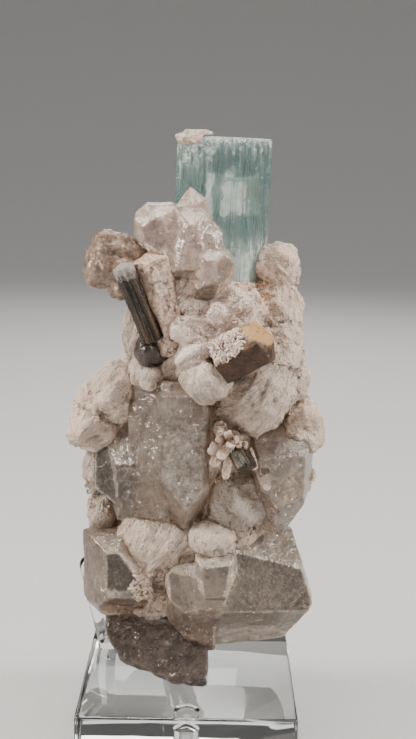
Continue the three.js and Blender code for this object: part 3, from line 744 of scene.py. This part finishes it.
# Limits of half length, height and width of the low blades, the crumbs and the loose blades
BLADE_SIZES = [(1.2, 3.0), (0.06, 0.25), (0.2, 0.5)]
CRUMB_SIZES = [(0.3, 0.9), (0.2, 0.6), (0.25, 0.7)]
LOOSE_SIZES = [(0.5, 1.3), (0.3, 1.1), (0.25, 0.6)]
# Clusters of loose blades: middle, reach, count and size
BLADE_CLUSTERS = [
    ((7, -14, 80), 5, 70, 1),
    ((-7.5, -10.5, 44.5), 6, 300, 0.8),
    ((-20, -5, 66), 5, 30, 1),
    ((14, -6, 111), 6, 60, 0.7),
    ((5, -14, 109), 7.5, 480, 0.55),
]
# Beds of needles: name, crystal, middle, reach, count, size, and the least rise of the faces under them
NEEDLES = [
    ("albite_needles_high", "apatite_worn", (7, -18.2, 103.4), 4.6, 260, 0.75, 0.3),
    ("albite_needles_low", "schorl_stub_striated", (9.3, -14.2, 80.8), 2.7, 110, 0.8, -0.4),
    ("albite_needles_foot", "quartz_low_left_worn", (-8.6, -13.2, 46.4), 4.6, 230, 0.8, -0.45),
]

# Flat blades that stand out around the schorl stub: root, tip, width and thickness
LATHS = [
    ((8.5, -13.5, 80), (4.1, -17, 79.4), 2, 0.9),
    ((8.5, -13.5, 79.5), (4.8, -17.5, 76.4), 2.2, 0.9),
    ((8.8, -14, 79), (7.9, -18.5, 73.8), 2, 0.9),
    ((8.5, -13, 80.5), (5.8, -17, 82.6), 1.8, 0.8),
    ((9, -13, 81), (8.1, -17, 84), 2, 0.9),
    ((9.5, -13, 81), (10.5, -17.5, 82.4), 1.8, 0.8),
    ((11, -12.5, 80), (12.5, -17, 80.9), 2, 0.9),
    ((13, -13, 79), (14.1, -17.5, 75.7), 2.2, 0.8),
    ((14.5, -12.5, 76.5), (17.6, -15.5, 70.4), 2.4, 0.7),
    ((8.8, -14, 80), (6.5, -19, 78.7), 2.2, 1),
    ((9, -14, 80.5), (8.8, -19, 81.3), 2, 1),
]
# Sections of a lath: how far along it, and their size
LATH_SECTIONS = [(0, 0.8), (0.7, 1), (0.92, 0.75), (1, 0.3)]
LATH_CORNERS = [(-1, -1), (1, -1), (1, 1), (-1, 1)]
# Sections of a blade along its half length, how deep its foot is sunk, how far it looks for the ground, and
# the room that it leaves to a crystal
BLADE_SECTIONS = (-1, -0.55, 0, 0.55, 1)
BLADE_SINK = 0.3
BLADE_REACH = 1.2
BLADE_ROOM = 0.9


def rosette_places(points):
    """For each point, its nearest rosette, how far it is inside that one's border, its place across, beside
    and along the fan of plates, and the direction across them."""
    distances, local = [], []
    for centre, half, lean, _, _ in ROSETTES:
        turned = np.array(Euler((0, math.radians(lean), 0)).to_matrix())
        place = (points / MM - centre) @ turned / half
        local.append(place)
        distances.append(np.linalg.norm(place, axis=1))
    distances = np.array(distances)
    nearest = distances.argmin(0)
    ordered = np.sort(distances, axis=0)
    chosen = np.array(local)[nearest, np.arange(len(points))]
    pole = unit(np.array([row[3] for row in ROSETTES], float))
    side = unit(np.cross(pole, (0.31, 0.87, 0.39)))
    other = np.cross(pole, side)
    x, y, z = ((chosen * way[nearest]).sum(1) for way in (side, other, pole))
    size = np.array([np.mean(row[1]) for row in ROSETTES])[nearest]
    turn = np.arctan2(x, z + HINGE)
    fan = np.stack([turn * HINGE * size, y * size, z * size], 1)
    across = np.cos(turn)[:, None] * side[nearest] - np.sin(turn)[:, None] * pole[nearest]
    return nearest, ordered[1] - ordered[0], fan, across


def hollow_depth(mesh, edges, steps):
    """How far each vertex lies below its smoothed surroundings."""
    points = points_of(mesh)
    return ((smoothed(points, edges, steps) - points) * normals_of(mesh)).sum(1)


def albite_matrix(finish, crystals):
    """The albite: hollows filled a little, soft folds, and overlapping plates that fan over each rosette."""
    piece = fine_copy("albite_matrix_bladed", "albite_matrix", 0.5, 2)
    mesh = piece.data
    edges = edges_of(mesh)
    start = points_of(mesh)
    touching = gap_to(crystals, start, 2 * CONTACT)
    closed = step_up(gap_from(start, STOUT_MIDDLE), 0.75 * STOUT_REACH, STOUT_REACH)
    merged = 1 - step_up(gap_from(start, WALL_MIDDLE), 0.7 * WALL_REACH, WALL_REACH)
    free = step_up(touching, 0.9 * CONTACT, 2 * CONTACT) * closed
    for step in range(FILL_ROUNDS + WALL_ROUNDS):
        rise = np.maximum(hollow_depth(mesh, edges, 12), 0) * free * (1.0 if step < FILL_ROUNDS else merged)
        set_points(mesh, points_of(mesh) + normals_of(mesh) * rise[:, None])
    points = points_of(mesh)
    nearest, border, fan, _ = rosette_places(points)
    warp = 1.6 * layered_noise(points, 7 * MM, 11) + 0.35 * layered_noise(points, 2.2 * MM, 13)
    folds = fan * (1.0, 0.25, 0.3) + np.stack([warp, 31.0 * nearest, 0 * warp], 1)
    heights = FOLD_DEEP * layered_noise(folds, FOLD_WIDE, 23, 2)
    heights += FINE_DEEP * layered_noise(folds, FINE_WIDE, 27, 1)
    phase = (fan[:, 0] + 1.5 * warp) / PLATE_WIDE
    plate = np.floor(phase)
    tall = hashed(np.stack([plate, nearest, 0 * plate], 1), 5)
    slope = phase - plate
    heights += PLATE_DEEP * (0.2 + 0.8 * tall) * step_up(slope, 0.0, 0.14) * (1.0 - 0.85 * slope)
    lumps = KNOB_DEEP * layered_noise(points, KNOB_WIDE * MM, 31, 2)
    lumps += LUMP_DEEP * layered_noise(points, LUMP_WIDE * MM, 41, 2)
    heights += lumps - 0.15
    heights = heights * (0.35 + 0.65 * closed) + 0.15 * (1 - closed)
    heights += SUGAR_DEEP * soft_noise(points, SUGAR_WIDE * MM, 47)
    heights -= CREASE_DEEP * (1 - merged) * (1 - step_up(border, 0.0, 0.1))
    push_out(piece, np.where(touching < CONTACT, CONTACT_SWELL, heights * MM))
    # Fine hollows take a brown stain with painted shade, and the wide crevices take painted shade
    narrow = step_up(hollow_depth(mesh, edges, 16), 0.05 * MM, 0.4 * MM)
    wide_shade = step_up(hollow_depth(mesh, edges, 70), 0.35 * MM, 1.5 * MM)
    keep_values(mesh, "hollow_stain_and_shade", np.maximum(narrow, 0.85 * wide_shade))
    keep_values(mesh, "tone", np.array([row[4] for row in ROSETTES])[nearest])
    keep_values(mesh, "fan", fan)
    return dressed(piece, finish)


def albite_blades(finish, ground, crystals):
    """Thin low blades along the fans of the rosettes, crumbs between them and clusters of loose blades."""
    points = points_of(ground.data)
    border = rosette_places(points)[1]
    picks = np.random.default_rng(17)
    share = 1.0
    low = picks.choice(len(points), int(BLADE_COUNT * share), replace=False)
    rows = drawn_blades(picks, low, 0.0, BLADE_SIZES)
    crumbs = picks.choice(np.flatnonzero(border < 0.07), int(CRUMB_COUNT * share), replace=False)
    rows += drawn_blades(picks, crumbs, 1.0, CRUMB_SIZES)
    for middle, reach, count, size in BLADE_CLUSTERS:
        inside = np.flatnonzero(gap_from(points, middle) < reach)
        rows += drawn_blades(picks, picks.choice(inside, int(count * share)), 1.0, LOOSE_SIZES, size)
    blade_piece("albite_blades", finish, ground, rows, picks, crystals, LATHS)


def albite_needles(finish, name, under, middle, reach, count, size, rise):
    """Loose blades that cover a part of the crystal under them."""
    crystal = bpy.data.objects[under]
    points = points_of(crystal.data)
    inside = (gap_from(points, middle) < reach) & (normals_of(crystal.data)[:, 2] > rise)
    picks = np.random.default_rng(19)
    rows = drawn_blades(picks, picks.choice(np.flatnonzero(inside), count), 1.0, LOOSE_SIZES, size)
    blade_piece(name, finish, crystal, rows, picks)


def drawn_blades(picks, spots, loose, sizes, scale=1.0):
    """Blades at some of the vertices: vertex, looseness, half length, height and width."""
    return [(k, loose, *(scale * picks.uniform(*limits) for limits in sizes)) for k in spots]


def blade_rings(tree, picks, point, normal, way, loose, length, height, width):
    """Sections of a bent blade that follows the ground, fewer where the ground ends."""
    bow = picks.normal(0.0, 0.22)
    stray = Vector(picks.normal(0.0, 0.12 + 0.9 * loose, 3))
    along = normal.cross(way) + stray
    along -= along.dot(normal) * normal
    rings = []
    if along.length < 0.1:
        return rings
    along.normalize()
    across = normal.cross(along)
    foot, ridge = across * (0.7 * width * MM), across * (0.32 * width * MM)
    for s in BLADE_SECTIONS:
        place = point + (along * s * length + across * bow * (1 - s * s)) * MM
        on, lift, _, _ = tree.find_nearest(place, BLADE_REACH * MM)
        if on is None:
            break
        top = on + lift * (height * (1 - 0.75 * s ** 4) * MM)
        low = on - lift * (BLADE_SINK * MM)
        rings.append([low - foot, low + foot, top + ridge, top - ridge])
    return rings


def lath_rings(root, tip, width, thick):
    """Sections of a straight flat blade."""
    low, high = Vector(root) * MM, Vector(tip) * MM
    side = (high - low).cross(Vector((0.0, -1.0, 0.25))).normalized() * (0.5 * width * MM)
    up = side.cross(high - low).normalized() * (0.5 * thick * MM)
    return [[low.lerp(high, share) + (side * a + up * b) * size for a, b in LATH_CORNERS]
            for share, size in LATH_SECTIONS]


def blade_piece(name, finish, ground, rows, picks, crystals=None, laths=()):
    """Blades that follow the ground, away from the crystals, and laths, joined in one mesh."""
    points = points_of(ground.data)
    normals = normals_of(ground.data)
    tree = search_tree([ground])
    nearest, _, _, ways = rosette_places(points)
    stacks, tones = [], []
    for k, loose, *sizes in rows:
        place = (Vector(points[k]), Vector(normals[k]), Vector(ways[k]))
        rings = blade_rings(tree, picks, *place, loose, *sizes)
        crowded = crystals and crystals.find_nearest(points[k], BLADE_ROOM * MM)[0] is not None
        if len(rings) == len(BLADE_SECTIONS) and not crowded:
            stacks.append(rings)
            tones.append(ROSETTES[nearest[k]][4] * (1 - loose))
    for lath in laths:
        stacks.append(lath_rings(*lath))
        tones.append(0.0)
    corners, faces, corner_tones = [], [], []
    for rings, tone in zip(stacks, tones):
        start = len(corners)
        corners += [tuple(corner) for ring in rings for corner in ring]
        for step in range(len(rings) - 1):
            a, b = start + 4 * step, start + 4 * step + 4
            faces += [(a + m, a + (m + 1) % 4, b + (m + 1) % 4, b + m) for m in range(4)]
        last = start + 4 * (len(rings) - 1)
        faces += [(start + 3, start + 2, start + 1, start), tuple(last + m for m in range(4))]
        corner_tones += [tone] * (4 * len(rings))
    mesh = bpy.data.meshes.new(name)
    limit = np.clip(np.array(corners), cad_low, cad_high)
    mesh.from_pydata(limit.tolist(), [], faces)
    mesh.update()
    work = bmesh.new()
    work.from_mesh(mesh)
    bmesh.ops.recalc_face_normals(work, faces=work.faces)
    work.to_mesh(mesh)
    work.free()
    keep_values(mesh, "hollow_stain_and_shade", np.zeros(len(corners)))
    keep_values(mesh, "tone", np.array(corner_tones))
    keep_values(mesh, "fan", rosette_places(limit)[2])
    piece = dressed(new_object(name, mesh), finish)
    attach(piece, "root")


# Crystals

# What a crystal gains over its solid, so that neighbours meet
SWELL = 0.15
# Fineness of the quartz, its growth terraces for each unit of noise, their height, and the etching's depth
QUARTZ_VOXEL = 0.32
TERRACES = 2.5
TERRACE_HIGH = 0.05
ETCHING = 0.04


def worn_crystal(name, node, finish, voxel, rounding, wear, lump, seed):
    """A crystal over its CAD solid, with worn edges and slightly uneven faces."""
    piece = fine_copy(name, node, voxel, rounding)
    points = points_of(piece.data)
    heights = wear * layered_noise(points, lump * MM, seed)
    heights += 0.4 * wear * soft_noise(points, 1.1 * MM, seed + 9)
    push_out(piece, (heights + SWELL) * MM)
    return dressed(piece, finish)


def fluted_crystal(name, node, finish, ends, flutes, depth, voxel, seed):
    """A crystal whose sides are striated along its axis."""
    piece = fine_copy(name, node, voxel, 2)
    points = points_of(piece.data)
    root, along, side, other = axis_frame(ends)
    offset = points - root
    turn = np.arctan2(offset @ other, offset @ side)
    height = offset @ along
    round_place = np.stack([np.cos(turn), np.sin(turn), height / (40 * MM)], 1)
    lines = soft_noise(round_place, 2.2 / flutes * 3, seed)
    lines += 0.6 * soft_noise(round_place, 1.1 / flutes * 3, seed + 1)
    facing = np.abs(normals_of(piece.data) @ along)
    etched = layered_noise(points, 1.2 * MM, seed + 5)
    heights = depth * lines * (1 - step_up(facing, 0.5, 0.85)) + 0.25 * depth * etched
    push_out(piece, heights * MM)
    return dressed(piece, finish)


def veils(finish):
    """Thin ragged lenses inside the aquamarine, joined in one mesh."""
    work = bmesh.new()
    for seed, (middle, half, turn) in enumerate(VEILS, 1):
        made = bmesh.ops.create_icosphere(work, subdivisions=4, radius=1.0)["verts"]
        ball = np.array([tuple(v.co) for v in made])
        ragged = 1.0 + 0.28 * layered_noise(ball * (1.0, 0.2, 2.0), 0.9, seed)
        ragged -= 0.16 * np.abs(ball[:, 2]) ** 3
        shaped = np.sign(ball) * np.abs(ball) ** (0.7, 1.0, 0.7) * ragged[:, None] * half
        around = np.array(Euler((0, 0, math.radians(turn))).to_matrix())
        for vert, place in zip(made, (shaped @ around.T + middle) * MM):
            vert.co = place
    mesh = mesh_from(work, "aquamarine_veils")
    mesh.shade_smooth()
    piece = dressed(new_object("aquamarine_veils", mesh), finish)
    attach(piece, "root")


def quartz(name, node, finish, colour, frost, faces=(), wear=0.06, ragged=0.0, rounding=1, *, seed):
    """A quartz crystal with crisp edges, low growth terraces, a fine etching and painted faces."""
    piece = fine_copy(name, node, QUARTZ_VOXEL, rounding)
    points = points_of(piece.data)
    waves = layered_noise(points, 5 * MM, seed) + 0.2 * soft_noise(points, 1.3 * MM, seed + 3)
    level = np.floor(TERRACES * waves)
    riser = step_up(TERRACES * waves - level, 0.0, 0.3)
    heights = SWELL + wear * waves + TERRACE_HIGH * (level + riser)
    heights += ETCHING * layered_noise(points, 0.9 * MM, seed + 9, 2)
    heights += ragged * np.maximum(layered_noise(points, 2.2 * MM, seed + 15, 3), -0.4)
    push_out(piece, heights * MM)
    paint_faces(piece, colour, frost, faces)
    return dressed(piece, finish)


# Stand

def clear_block(finish):
    """The block with rounded edges and smooth round sockets."""
    work = bmesh.new()
    bmesh.ops.create_cube(work, size=1.0)
    bmesh.ops.scale(work, verts=work.verts, vec=(BLOCK_SIDE * MM, BLOCK_SIDE * MM, BLOCK_HEIGHT * MM))
    bmesh.ops.translate(work, verts=work.verts, vec=(0, 0, 0.5 * BLOCK_HEIGHT * MM))
    edges = work.edges[:]
    bmesh.ops.bevel(work, geom=edges, offset=BLOCK_EDGE * MM, segments=3, profile=0.5, affect="EDGES")
    piece = new_object("stand_block_clear", mesh_from(work, "stand_block_clear"))
    drills = [
        peg_bar("drill_left", PEG_LEFT, SOCKET_ROOM),
        peg_bar("drill_back", PEG_BACK, SOCKET_ROOM),
        plug_bar("drill_plug", SOCKET_ROOM),
    ]
    for drill in drills:
        cut = piece.modifiers.new(drill.name, "BOOLEAN")
        cut.operation = "DIFFERENCE"
        cut.solver = "EXACT"
        cut.object = drill
    result_of(piece).set_sharp_from_angle(angle=math.radians(35))
    for drill in drills:
        bpy.data.objects.remove(drill)
    stand_piece(piece, "stand_base", finish)


def stand_piece(piece, node, finish):
    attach(piece, "root")
    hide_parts(node)
    dressed(piece, finish)


def plug_bar(name, room):
    """An upright rod with a conical end, from the underside of the block."""
    radius = PLUG_RADIUS + room
    high = PLUG_HEIGHT + room
    profile = [(0.0, -room), (radius, -room), (radius, high), (0.0, high + PLUG_POINT)]
    return turned_piece(name, profile, Vector((*PLUG_AT, 0.0)) * MM, Vector((0.0, 0.0, 1.0)))


def peg_bar(name, ends, room):
    """A smooth round rod with a domed far end, sunk below its foot."""
    radius = PEG_RADIUS + room
    low, high = (Vector(end) * MM for end in ends)
    axis = (high - low).normalized()
    low -= axis * (PEG_SINK + room) * MM
    length = (high - low).length / MM
    profile = [(0.0, 0.0), (radius, 0.0)]
    profile += [(radius * math.cos(a), length - radius + radius * math.sin(a))
                for a in np.linspace(0, math.pi / 2, 10)[:-1]]
    profile.append((0.0, length))
    return turned_piece(name, profile, low, axis)


def turned_piece(name, profile, foot, axis):
    """A solid turned from a profile of radius and height, whose ends are on the axis."""
    work = bmesh.new()
    turn = axis.to_track_quat("Z", "Y").to_matrix()
    rings = []
    for radius, height in profile:
        angles = [0.0] if radius == 0 else np.linspace(0, 2 * math.pi, TURNED_SIDES, endpoint=False)
        spots = [Vector((radius * math.cos(a), radius * math.sin(a), height)) for a in angles]
        rings.append([work.verts.new(foot + turn @ spot * MM) for spot in spots])
    for lower, upper in zip(rings, rings[1:]):
        for k in range(TURNED_SIDES):
            corners = [lower[k % len(lower)], lower[(k + 1) % len(lower)],
                       upper[(k + 1) % len(upper)], upper[k % len(upper)]]
            work.faces.new(list(dict.fromkeys(corners)))
    bmesh.ops.recalc_face_normals(work, faces=work.faces)
    mesh = mesh_from(work, name)
    mesh.shade_smooth()
    mesh.set_sharp_from_angle(angle=math.radians(40))
    return new_object(name, mesh)


# Light and camera

def soft_light(name, place, width, height, watts, colour=(1.0, 1.0, 1.0)):
    light = bpy.data.lights.new(name, "AREA")
    light.shape = "RECTANGLE"
    light.size = width
    light.size_y = height
    light.energy = watts
    light.color = colour
    lamp = new_object(name, light)
    lamp.location = place
    lamp.rotation_euler = (Vector(LIGHT_AIM) - Vector(place)).to_track_quat("-Z", "Y").to_euler()


def studio():
    """A pale floor that curves up all round, with soft lights on all sides."""
    work = bmesh.new()
    profile = [(FLOOR_FLAT, 0.0)]
    for turn in np.linspace(0, math.pi / 2, 16)[1:]:
        profile.append((FLOOR_FLAT + FLOOR_CURVE * math.sin(turn), FLOOR_CURVE * (1 - math.cos(turn))))
    around = np.linspace(0, 2 * math.pi, FLOOR_SIDES, endpoint=False)
    rings = [[work.verts.new((radius * math.cos(a), radius * math.sin(a), height)) for a in around]
             for radius, height in profile]
    work.faces.new(rings[0])
    for lower, upper in zip(rings, rings[1:]):
        for k in range(FLOOR_SIDES):
            after = (k + 1) % FLOOR_SIDES
            work.faces.new((lower[k], upper[k], upper[after], lower[after]))
    bmesh.ops.reverse_faces(work, faces=[f for f in work.faces if f.normal.z < 0])
    mesh = mesh_from(work, "floor")
    mesh.shade_smooth()
    mesh.materials.append(floor_finish())
    floor = new_object("floor", mesh)
    floor.location.z = -0.15 * MM
    world = bpy.data.worlds.new("studio")
    world.use_nodes = True
    sky = world.node_tree.nodes["Background"].inputs
    sky["Color"].default_value = (0.80, 0.81, 0.83, 1.0)
    sky["Strength"].default_value = 0.07
    scene.world = world
    soft_light("left", (-0.50, -0.13, 0.36), 0.16, 0.28, 4.6, (1.0, 0.93, 0.85))
    soft_light("right", (0.50, -0.10, 0.34), 0.14, 0.3, 3.6, (1.0, 0.95, 0.89))
    soft_light("front", (0.12, -0.75, 0.46), 0.3, 0.3, 0.4, (1.0, 0.97, 0.93))
    soft_light("back", (0.05, 0.55, 0.42), 0.36, 0.3, 1.6)
    soft_light("top", (0.0, -0.10, 0.60), 0.26, 0.26, 2.2, (1.0, 0.94, 0.87))
    soft_light("overhead", (0.0, 0.0, 1.8), 1.6, 1.6, 11.0)


def photo_camera():
    data = bpy.data.cameras.new("camera")
    data.sensor_fit = "VERTICAL"
    data.sensor_height = SENSOR
    data.sensor_width = SENSOR
    data.lens = LENS
    camera = new_object("camera", data)
    camera.location = CAMERA_AT
    turn = Matrix.Identity(3)
    for angle, axis in ((CAMERA_YAW, "Z"), (90 + CAMERA_PITCH, "X"), (CAMERA_ROLL, "Z")):
        turn = turn @ Matrix.Rotation(math.radians(angle), 3, axis)
    camera.rotation_euler = turn.to_euler()
    scene.camera = camera


# The object

aquamarine = fluted_crystal(
    "aquamarine_striated", "aquamarine_crystal", aquamarine_finish(),
    AQUAMARINE_AXIS, 60, 0.12, 0.36, 61)
veils(veil_finish())
worn_crystal("aquamarine_crust_grains", "aquamarine_crust", crust_finish(), 0.25, 1, 0.42, 1.3, 71)
apatite = worn_crystal(
    "apatite_worn", "apatite_crystal", apatite_finish(), 0.25, 2, 0.12, 2.2, 81)
schorl_prism = fluted_crystal(
    "schorl_prism_striated", "schorl_prism",
    schorl_finish("schorl", SCHORL_PRISM_AXIS, 14.0, (0.12, 0.066, 0.028)),
    SCHORL_PRISM_AXIS, 26, 0.16, 0.2, 91)
schorl_stub = fluted_crystal(
    "schorl_stub_striated", "schorl_stub",
    schorl_finish("schorl_stub", SCHORL_STUB_AXIS, 40.0, (0.15, 0.095, 0.038)),
    SCHORL_STUB_AXIS, 26, 0.16, 0.18, 95)

milky = quartz_finish("quartz", 0.85, 0.8, (0.84, 0.75, 0.66), 60.0)
glassy = quartz_finish("quartz_glassy", 0.72, 0.7, (0.86, 0.73, 0.66), 30.0)
corroded = quartz_finish("quartz_corroded", 0.4, 0.95, (0.70, 0.55, 0.42), 60.0)
smoky = quartz_finish("smoky_quartz", 0.85, 0.95, (0.66, 0.56, 0.48), 110.0)

quartzes = [
    quartz("quartz_top_heads", "quartz_top_cluster", glassy, (0.875, 0.66, 0.57), 0.25,
           TOP_FACES, 0.1, rounding=2, seed=101),
    quartz("quartz_upper_left_etched", "quartz_upper_left", corroded, (0.31, 0.215, 0.155), 0.5,
           wear=0.45, ragged=0.6, rounding=2, seed=111),
    quartz("quartz_column_etched", "quartz_column", milky, (0.80, 0.56, 0.445), 0.75,
           wear=0.2, ragged=0.28, seed=121),
    quartz("smoky_knob_worn", "smoky_quartz_knob", smoky, (0.085, 0.06, 0.046), 0.6,
           wear=0.2, ragged=0.12, rounding=2, seed=131),
    quartz("quartz_front_worn", "quartz_front", milky, BEIGE, 0.35, FRONT_FACES,
           ragged=-0.12, seed=141),
    quartz("quartz_right_worn", "quartz_right", milky, BEIGE, 0.3, RIGHT_FACES, seed=151),
    quartz("quartz_low_left_worn", "quartz_low_left", milky, BEIGE, 0.35, LOW_LEFT_FACES,
           seed=161),
    quartz("quartz_low_right_worn", "quartz_low_right", milky, BEIGE, 0.4, LOW_RIGHT_FACES,
           ragged=-0.12, rounding=2, seed=171),
    quartz("smoky_foot_worn", "smoky_quartz_foot", smoky, (0.235, 0.185, 0.155), 0.35,
           wear=0.25, ragged=-0.45, rounding=5, seed=181),
]

crystals = search_tree([aquamarine, apatite, schorl_prism, schorl_stub, *quartzes])
albite = albite_finish()
ground = albite_matrix(albite, crystals)
albite_blades(albite, ground, crystals)
for bed in NEEDLES:
    albite_needles(albite, *bed)

acrylic = acrylic_finish()
clear_block(acrylic)
stand_piece(peg_bar("stand_peg_left_round", PEG_LEFT, 0.0), "stand_peg_left", acrylic)
stand_piece(peg_bar("stand_peg_back_round", PEG_BACK, 0.0), "stand_peg_back", acrylic)
stand_piece(plug_bar("stand_plug_round", 0.0), "stand_plug", frosted_finish())

studio()
photo_camera()
